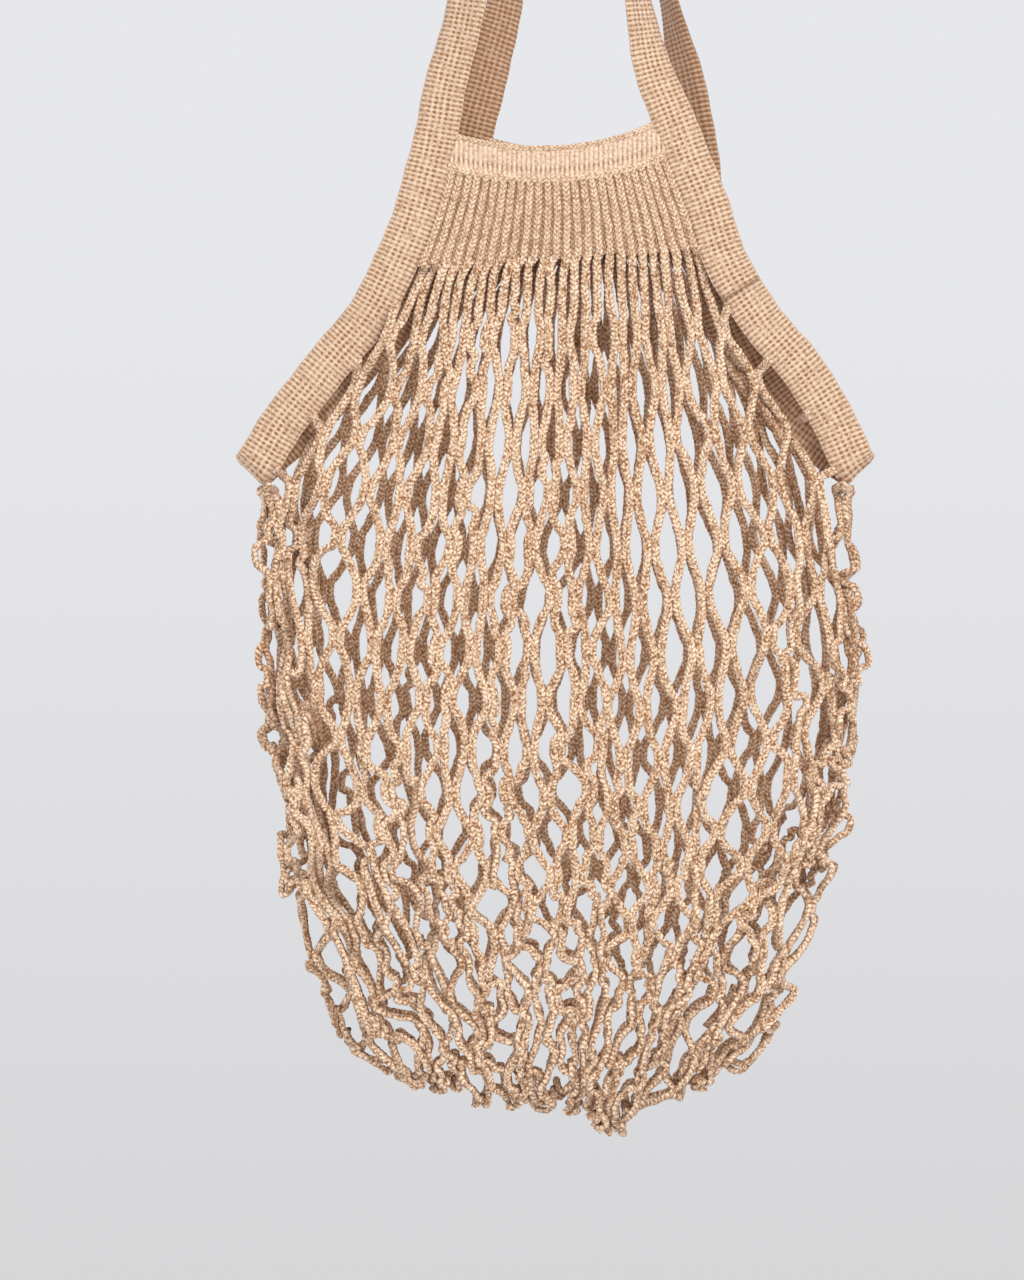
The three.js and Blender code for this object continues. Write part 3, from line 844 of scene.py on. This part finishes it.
class STRINGBAG_OT_cuffs(bpy.types.Operator):
    """Hangs the wales of chain stitches side by side under each hem"""
    bl_idname = "stringbag.cuffs"
    bl_label = "Cuffs"

    def execute(self, context):
        bag = settings_of(context)
        # 0.7: strength of the painted shade between the cuff's stitches
        finish = cord_finish(bag.yarn, "cuff_chain", 0.7, 0.35)
        for face, name in ((FRONT, "front_cuff"), (BACK, "back_cuff")):
            self.add_cuff(bag, face, name, finish)
        return {'FINISHED'}

    def add_cuff(self, bag, face, name, finish):
        """Makes one cuff, in which raised and sunk columns take turns"""
        cuff = bag.cuff
        wales = Fabric()
        left, right = (inner_edge(face, side, bag.strap) for side in (LEFT, RIGHT))
        random = np.random.default_rng(11 + face)
        columns = 2 * cuff.wales + 1
        pitch = (edge_x(right, CUFF_BOTTOM) - edge_x(left, CUFF_BOTTOM)) / columns
        for number in range(columns):
            sunk = number % 2
            share = (number + 0.5) / columns
            top = hem_top(share, cuff) - cuff.height + 1.0 * MM
            z = np.linspace(top, cuff_foot(share) - random.uniform(0, 0.8) * MM, 9)
            x = edge_x(left, z) * (1 - share) + edge_x(right, z) * share
            y = np.full_like(x, face * (FACE_DEPTH + (-0.75 if sunk else 0.55) * MM))
            line = np.stack([x, y, z], axis=1)
            line += random.normal(0, 0.14 * MM, line.shape)
            # Sunk wales get painted shade over their whole length
            sweep_cord(wales, line, random.uniform(0, 9), pitch * (1.1 if sunk else 1.3),
                       2.3 * MM, bag.yarn.stitch, np.array([0, face, 0.0]), sunk_shade=float(sunk))
        wales.piece(name + "_wales", finish, name, "knit_cuff")


# The net

class NetPlan:
    """The net's cords as lines of points: where they start, and which of them are joined.
    The tables below go by depth, which is 0 at a cuff and 1 at the fold of the foot."""

    SUBS = 5                      # points of a cord for each row
    KNIT = 2                      # the first of the two points that are in a row's joint
    SLACK = (0.36, 0.66)          # depths between which the rows get shorter
    HANG = ([0, 0.36, 0.66, 1], [0.995, 0.985, 0.84, 0.72])      # height over length of cord
    LOOSE = ([0, 0.1, 0.3, 0.6, 1], [0.1, 0.45, 0.8, 1.1, 1.5])  # how far joints stray
    SWING = ([0, 0.12, 0.3], [0.1, 0.5, 1.0])                    # how far a mesh's cords part
    OPENING = ([0, 0.15, 0.5, 1], [5.0, 8.0, 13.0, 17.0])        # width of a mesh in mm
    LEAN = ([0, 0.2, 1], [0.04, 0.02, 0.025])                    # pull to the plan, each step

    def __init__(self, bag):
        net, cuff = bag.net, bag.cuff
        self.bag, self.net = bag, net
        self.side = net.edge_cords + net.tip_cords
        self.count = cuff.cords + 2 * self.side
        self.rows = 2 * net.rows + 1
        self.points = self.rows * self.SUBS + 1
        row = np.arange(self.rows)
        depth = np.minimum(row, self.rows - 1 - row) / net.rows
        pitch = np.interp(depth, self.SLACK, [net.pitch, net.low_pitch])
        joint = net.joint * pitch / net.pitch
        free = (pitch - joint) / (self.SUBS - 1)
        plain = np.stack([free, free, joint, free, free], axis=1).ravel()
        hang = np.repeat(np.interp(depth, *self.HANG), self.SUBS)
        self.fall = np.concatenate([[0], np.cumsum(plain * hang)])
        self.row = np.arange(self.points) / self.SUBS
        past_fold = self.row - self.rows / 2
        self.behind = np.clip((past_fold - 4) / 5, 0, 1)
        self.mirrored = np.where(past_fold > 0, np.clip(1.8 - past_fold / 5, 0, 1), 0)
        self.start = np.zeros((2, self.count), int)      # a cord's first point, for each face
        self.pins = np.zeros((2, self.count, 2))         # the x and z where it hangs
        for half, face in enumerate((FRONT, BACK)):
            self.pin_cords(half, face)
        self.random = np.random.default_rng(5)
        vary = 1 + self.random.normal(0, net.uneven, (self.count, self.rows)) * (0.35 + depth)
        vary = np.repeat(vary, self.SUBS, axis=1)
        vary[:, self.KNIT::self.SUBS] = 1
        self.rest = plain * vary
        cords = np.arange(self.count)
        from_edge = np.minimum(cords, self.count - 1 - cords)
        self.gathered = np.clip(1.5 - from_edge / (self.side + 1), 0, 1)   # 1 in a side bundle
        self.mark_points()

    def pin_cords(self, half, face):
        """Places the ends of one face's cords at its cuff, along the strap and at the tips"""
        net, strap = self.net, self.bag.strap
        left, right = (inner_edge(face, side, strap) for side in (LEFT, RIGHT))
        for number in range(self.bag.cuff.cords):
            share = (number + 0.5) / self.bag.cuff.cords
            x = edge_x(left, CUFF_BOTTOM) * (1 - share) + edge_x(right, CUFF_BOTTOM) * share
            self.pins[half, self.side + number] = x, cuff_foot(share) + 1 * MM
        for side, edge in ((LEFT, left), (RIGHT, right)):
            for row in range(1, net.edge_cords + 1):
                cord = self.side - row if side == LEFT else self.count - 1 - self.side + row
                z = max(CUFF_BOTTOM - net.pitch * (row - 0.15), edge[-1, 2] + 6 * MM)
                self.pins[half, cord] = edge_x(edge, z) + side * 1.5 * MM, z
                self.start[half, cord] = row * self.SUBS
            for number in range(net.tip_cords):
                cord = number if side == LEFT else self.count - 1 - number
                self.pins[half, cord] = edge[-1][0], edge[-1][2] - 1 * MM
                self.start[half, cord] = net.edge_cords * self.SUBS

    def mark_points(self):
        """Marks which points are missing, held or free, and which neighbours are joined"""
        number = np.arange(self.points)[None, :]
        last = self.points - 1
        first, final = self.start[0][:, None], last - self.start[1][:, None]
        self.gone = (number < first) | (number > final)
        self.free = ((number > first) & (number < final)).astype(float)[..., None]
        row = number // self.SUBS
        in_joint = (number % self.SUBS == self.KNIT) | (number % self.SUBS == self.KNIT + 1)
        knitted = in_joint & (row >= 1) & (row <= self.rows - 2)
        even = (np.arange(self.count - 1)[:, None] + row) % 2 == 0
        self.present = ~self.gone[:-1] & ~self.gone[1:]
        self.joined = knitted & even & self.present
        self.in_mesh = knitted & ~even & self.present

    def planned_x(self, z):
        """Where each cord should hang at the heights z, one row of z for each cord"""
        levels = np.array(CORD_LEVELS, float)
        cords = np.arange(self.count)
        drawn_in = cords - self.net.gather * np.sin(2 * math.pi * cords / (self.count - 1))
        pixel = ORIGIN_Y - z / PIXEL
        x = []
        for places in (cords, drawn_in):
            table = np.array([np.interp(places, KEY_CORDS, level[1:]) for level in levels])
            x.append(np.stack([photo_x(np.interp(pixel[cord], levels[:, 0], table[:, cord]))
                               for cord in cords]))
        return x[0] + (x[1] - x[0]) * self.behind

    def planned_z(self):
        """How high each point should hang: the rows fall less where the net's foot is slack"""
        foot_x = np.interp(np.arange(self.count), KEY_CORDS, CORD_LEVELS[-2][1:])
        edge = np.array(LOWER_EDGE, float)
        foot = photo_z(np.interp(foot_x, edge[:, 0], edge[:, 1]))
        deep = np.minimum(self.fall, self.fall[-1] - self.fall)
        z = []
        for half in (0, 1):
            begin = deep[self.start[half]][:, None]
            share = np.clip((deep[None, :] - begin) / (self.fall[-1] / 2 - begin), 0, 1)
            pin = self.pins[half, :, 1][:, None]
            z.append(pin + (foot[:, None] - pin) * share)
        return np.where(self.row <= self.rows / 2, z[0], z[1])

    def per_joint(self, spread):
        """A random number for each point, the same for both cords of a joint. Near the fold
        the back has the front's numbers, so that its meshes lie behind the front's."""
        values = self.random.normal(0, spread, (self.rows + 2, self.count + 1))
        cords, rows = np.arange(self.count)[:, None], np.arange(self.rows + 2)[None, :]
        shared = values[rows, cords + 1 - (cords + rows) % 2]
        values = np.stack([np.interp(self.row - 0.5, np.arange(self.rows + 2), line)
                           for line in shared])
        return values + (values[:, ::-1] - values) * self.mirrored

    def swing(self):
        """Which way each point leans: 1 in a joint with the next cord, -1 with the last one"""
        number = np.arange(self.points)
        toward = 1 - 2 * ((np.arange(self.count)[:, None] + number // self.SUBS) % 2)
        return toward * np.array([0, 0.5, 1, 1, 0.5])[number % self.SUBS]

    def first_guess(self):
        """Each cord at its planned place, from its pin in front to its pin behind"""
        place = np.zeros((self.count, self.points, 2))
        place[..., 1] = self.planned_z()
        place[..., 0] = self.planned_x(place[..., 1])
        for cord in range(self.count):
            place[cord, :self.start[0][cord] + 1] = self.pins[0, cord]
            place[cord, self.points - 1 - self.start[1][cord]:] = self.pins[1, cord]
        return place

    def settle(self):
        """Lets the cords hang: even length, joined at the joints, apart elsewhere"""
        net = self.net
        place = self.first_guess()
        depth = np.minimum(self.row, self.rows - self.row) / net.rows
        loose = np.interp(depth, *self.LOOSE)
        astray = np.where(self.gathered == 1, 0.8, self.gathered)
        astray[[0, 1, -2, -1]] = 0.4
        astray = astray[:, None] * net.wander
        stray = self.per_joint(1.0) * (1.3 * MM + astray) * loose
        stray_z = self.per_joint(1.0) * (1.6 * MM + astray) * loose
        share = np.arange(self.count)[:, None] / (self.count - 1)
        swing = self.swing() * np.interp(depth, *self.SWING) / 2
        drift = 1 + 0.9 * np.sin(self.row * 0.8 + share * 7)
        stray += net.offset * self.behind * drift * 4 * share * (1 - share)
        chance = np.clip(self.random.lognormal(0, 0.6, (self.count, self.rows + 1)), 0.45, 2.2)
        wish = np.interp(depth, *self.OPENING) * MM * chance[:-1, np.arange(self.points) // self.SUBS]
        wish += (wish[:, ::-1] - wish) * self.mirrored
        lean = np.interp(depth, *self.LEAN) * (1 + self.gathered[:, None])
        edge = np.array([(photo_x(x), photo_z(y)) for x, y in LOWER_EDGE])
        free = self.free
        calm = int(net.steps * 0.85)
        target_z = self.planned_z() + stray_z
        for step in range(net.steps):
            strength = 1.0 if step < calm else 0.15
            pull = strength * free[..., 0]
            place[..., 1] += ((target_z - place[..., 1]) * lean - 0.01 * MM) * pull
            if step % 8 == 0:
                plan = self.planned_x(place[..., 1])
                spare = np.maximum(np.gradient(plan, axis=0) - self.bag.yarn.cord, 0)
                target = plan + swing * spare + stray
            place[..., 0] += (target - place[..., 0]) * lean * pull
            low = np.interp(place[..., 0], edge[:, 0], edge[:, 1])
            place[..., 1] += 0.5 * np.maximum(low - place[..., 1], 0) * free[..., 0]
            bend = np.zeros_like(place)
            bend[:, 1:-1] = (place[:, :-2] + place[:, 2:]) / 2 - place[:, 1:-1]
            place += 0.1 * bend * free
            self.meet_neighbours(place, wish, strength)
            for _ in range(3):
                self.keep_length(place)
        return place

    def meet_neighbours(self, place, wish, strength):
        """Holds joined points side by side and keeps the others a little apart"""
        apart = self.bag.yarn.cord * 0.97
        for parity in (0, 1):
            one, two = slice(parity, self.count - 1, 2), slice(parity + 1, self.count, 2)
            gap = place[two] - place[one]
            aim = gap.copy()
            aim[..., 0] = np.maximum(aim[..., 0], 0.3 * apart)
            size = np.maximum(np.linalg.norm(aim, axis=2), 1e-6)
            goal = np.where(self.joined[one], apart, np.maximum(size, 0.55 * apart))
            goal += np.where(self.in_mesh[one], (wish[one] - size) * 0.06 * strength, 0)
            move = (aim * (goal / size)[..., None] - gap) * self.present[one][..., None]
            total = np.maximum(self.free[one] + self.free[two], 1)
            place[one] -= move * self.free[one] / total * 0.9
            place[two] += move * self.free[two] / total * 0.9

    def keep_length(self, place):
        """Gives each piece of cord between two points its own length again"""
        for parity in (0, 1):
            one, two = slice(parity, self.points - 1, 2), slice(parity + 1, self.points, 2)
            gap = place[:, two] - place[:, one]
            size = np.maximum(np.linalg.norm(gap, axis=2), 1e-9)
            share = (size - self.rest[:, one]) / size * ~(self.gone[:, one] | self.gone[:, two])
            move = gap * share[..., None]
            total = np.maximum(self.free[:, one] + self.free[:, two], 1)
            place[:, one] += move * self.free[:, one] / total
            place[:, two] -= move * self.free[:, two] / total

    def lines(self):
        """The settled cords in space: the front half before the back half"""
        place = self.settle()
        turn = np.clip((self.row - self.rows / 2) / 1.5, -1, 1)
        depth = np.maximum(wall_depth(place[..., 0], place[..., 1]), 2.4 * MM)
        y = np.sin(turn * math.pi / 2)[None, :] * depth
        y += self.per_joint(1.0) * (0.7 * MM + self.gathered[:, None] * self.net.wander * 0.9)
        tangle = self.random.normal(0, 0.15 * MM, (3, *y.shape)) * self.free[..., 0]
        lines = np.stack([place[..., 0], y, place[..., 1]], axis=-1) + np.moveaxis(tangle, 0, -1)
        pinned = (self.free[..., 0] == 0) & ~self.gone
        behind = np.arange(self.points) > self.points // 2
        lines[pinned & ~behind, 1] = FRONT * FACE_DEPTH
        lines[pinned & behind, 1] = BACK * FACE_DEPTH
        fine = np.stack([smooth_line(line, False, 2)[0] for line in lines])
        fine[np.repeat(self.gone, 2, axis=1)[:, :fine.shape[1]]] = np.nan
        return fine


# Cords that lie too close: how they are found, and the shares of a push that go sideways, in
# depth and upwards
CELL_PRIMES = np.array([73856093, 19349663, 83492791])
PUSH = np.array([0.35, 1.0, 0.15])
MOST_PUSH = 0.6 * MM


def cell_keys(cells):
    """A number for each cell of a grid in space"""
    return np.bitwise_xor.reduce(cells * CELL_PRIMES, axis=1)


def part_cords(lines, distance, rounds):
    """Moves points of different cords apart, mostly in depth, where they come too close"""
    cords, points = lines.shape[:2]
    flat = lines.reshape(-1, 3).copy()
    index = np.nonzero(~np.isnan(flat[:, 0]))[0]
    owner = np.repeat(np.arange(cords), points)[index]
    for _ in range(rounds):
        p = flat[index]
        cell = np.floor(p / distance).astype(np.int64)
        order = np.argsort(cell_keys(cell), kind='stable')
        keys = cell_keys(cell)[order]
        push = np.zeros_like(p)
        for step in np.ndindex(3, 3, 3):
            near = cell_keys(cell + np.array(step) - 1)
            low, high = np.searchsorted(keys, near, 'left'), np.searchsorted(keys, near, 'right')
            for k in range(int((high - low).max(initial=0))):
                chosen = np.nonzero(low + k < high)[0]
                other = order[low[chosen] + k]
                gap = p[chosen] - p[other]
                size = np.linalg.norm(gap, axis=1)
                close = (owner[chosen] != owner[other]) & (size < distance) & (size > 1e-9)
                chosen, gap, size = chosen[close], gap[close], size[close]
                lack = (distance - size) / size * 0.25
                np.add.at(push, chosen, gap * PUSH * lack[:, None])
        flat[index] += np.clip(push, -MOST_PUSH, MOST_PUSH)
    return flat.reshape(lines.shape)


class STRINGBAG_OT_net(bpy.types.Operator):
    """Hangs the net's cords from the cuffs and the strap, and lets them settle"""
    bl_idname = "stringbag.net"
    bl_label = "Net"

    def execute(self, context):
        bag = settings_of(context)
        plan = NetPlan(bag)
        lines = part_cords(plan.lines(), bag.yarn.cord * 0.92, 8)
        # 0.6: strength of the painted shade between the net's stitches
        finish = cord_finish(bag.yarn, "net_chain", 0.6)
        middle = plan.count // 2
        total = 0.0
        for face, face_name in ((FRONT, "front"), (BACK, "back")):
            for side_name, cords in (("left", range(middle)), ("right", range(middle, plan.count))):
                fabric = Fabric()
                for cord in cords:
                    total += self.add_cord(fabric, bag.yarn, plan, lines[cord], cord, face)
                fabric.piece(f"{face_name}_{side_name}_net_cords", finish, "net_body", "net_cord")
        print("net cord in metres", round(total, 2))
        return {'FINISHED'}

    def add_cord(self, fabric, yarn, plan, line, cord, face):
        """Knits one face's part of a cord, from its pin down to the fold, and gives its length"""
        fold = plan.points - 1
        start, stop = 2 * plan.start[0][cord], 2 * (fold - plan.start[1][cord])
        chosen = line[start:fold + 1] if face == FRONT else line[fold:stop + 1][::-1]
        return sweep_cord(fabric, chosen, cord * 1.3 + (face > 0) * 0.7, yarn.cord * 1.04,
                          yarn.cord * 0.86, yarn.stitch, np.array([0, float(face), 0]),
                          thinning=yarn.thinning)


class STRINGBAG_PG_bag(bpy.types.PropertyGroup):
    """All settings of the bag"""
    yarn: PointerProperty(type=YarnSettings)
    strap: PointerProperty(type=StrapSettings)
    cuff: PointerProperty(type=CuffSettings)
    net: PointerProperty(type=NetSettings)
    stage: PointerProperty(type=StageSettings)


OPERATORS = (STRINGBAG_OT_stage, STRINGBAG_OT_strap, STRINGBAG_OT_hems, STRINGBAG_OT_cuffs,
             STRINGBAG_OT_net)


class STRINGBAG_PT_panel(bpy.types.Panel):
    """Lists the bag's operators and settings in the sidebar"""
    bl_idname = "STRINGBAG_PT_panel"
    bl_label = "String Bag"
    bl_space_type = 'VIEW_3D'
    bl_region_type = 'UI'
    bl_category = "String Bag"

    def draw(self, context):
        bag = settings_of(context)
        for operator in OPERATORS:
            self.layout.operator(operator.bl_idname)
        for group in (bag.yarn, bag.strap, bag.cuff, bag.net, bag.stage):
            box = self.layout.box()
            for key in group.__annotations__:
                box.prop(group, key)


CLASSES = (YarnSettings, StrapSettings, CuffSettings, NetSettings, StageSettings,
           STRINGBAG_PG_bag, *OPERATORS, STRINGBAG_PT_panel)


def register():
    """Makes the operators, the panel and the settings known"""
    for cls in CLASSES:
        bpy.utils.register_class(cls)
    bpy.types.Scene.string_bag = PointerProperty(type=STRINGBAG_PG_bag)


def unregister():
    """Takes them away again"""
    del bpy.types.Scene.string_bag
    for cls in reversed(CLASSES):
        bpy.utils.unregister_class(cls)


def main():
    """Makes the stage and each part of the bag"""
    register()
    bpy.ops.stringbag.stage()
    bpy.ops.stringbag.strap()
    bpy.ops.stringbag.hems()
    bpy.ops.stringbag.cuffs()
    bpy.ops.stringbag.net()


if __name__ == "__main__":
    main()
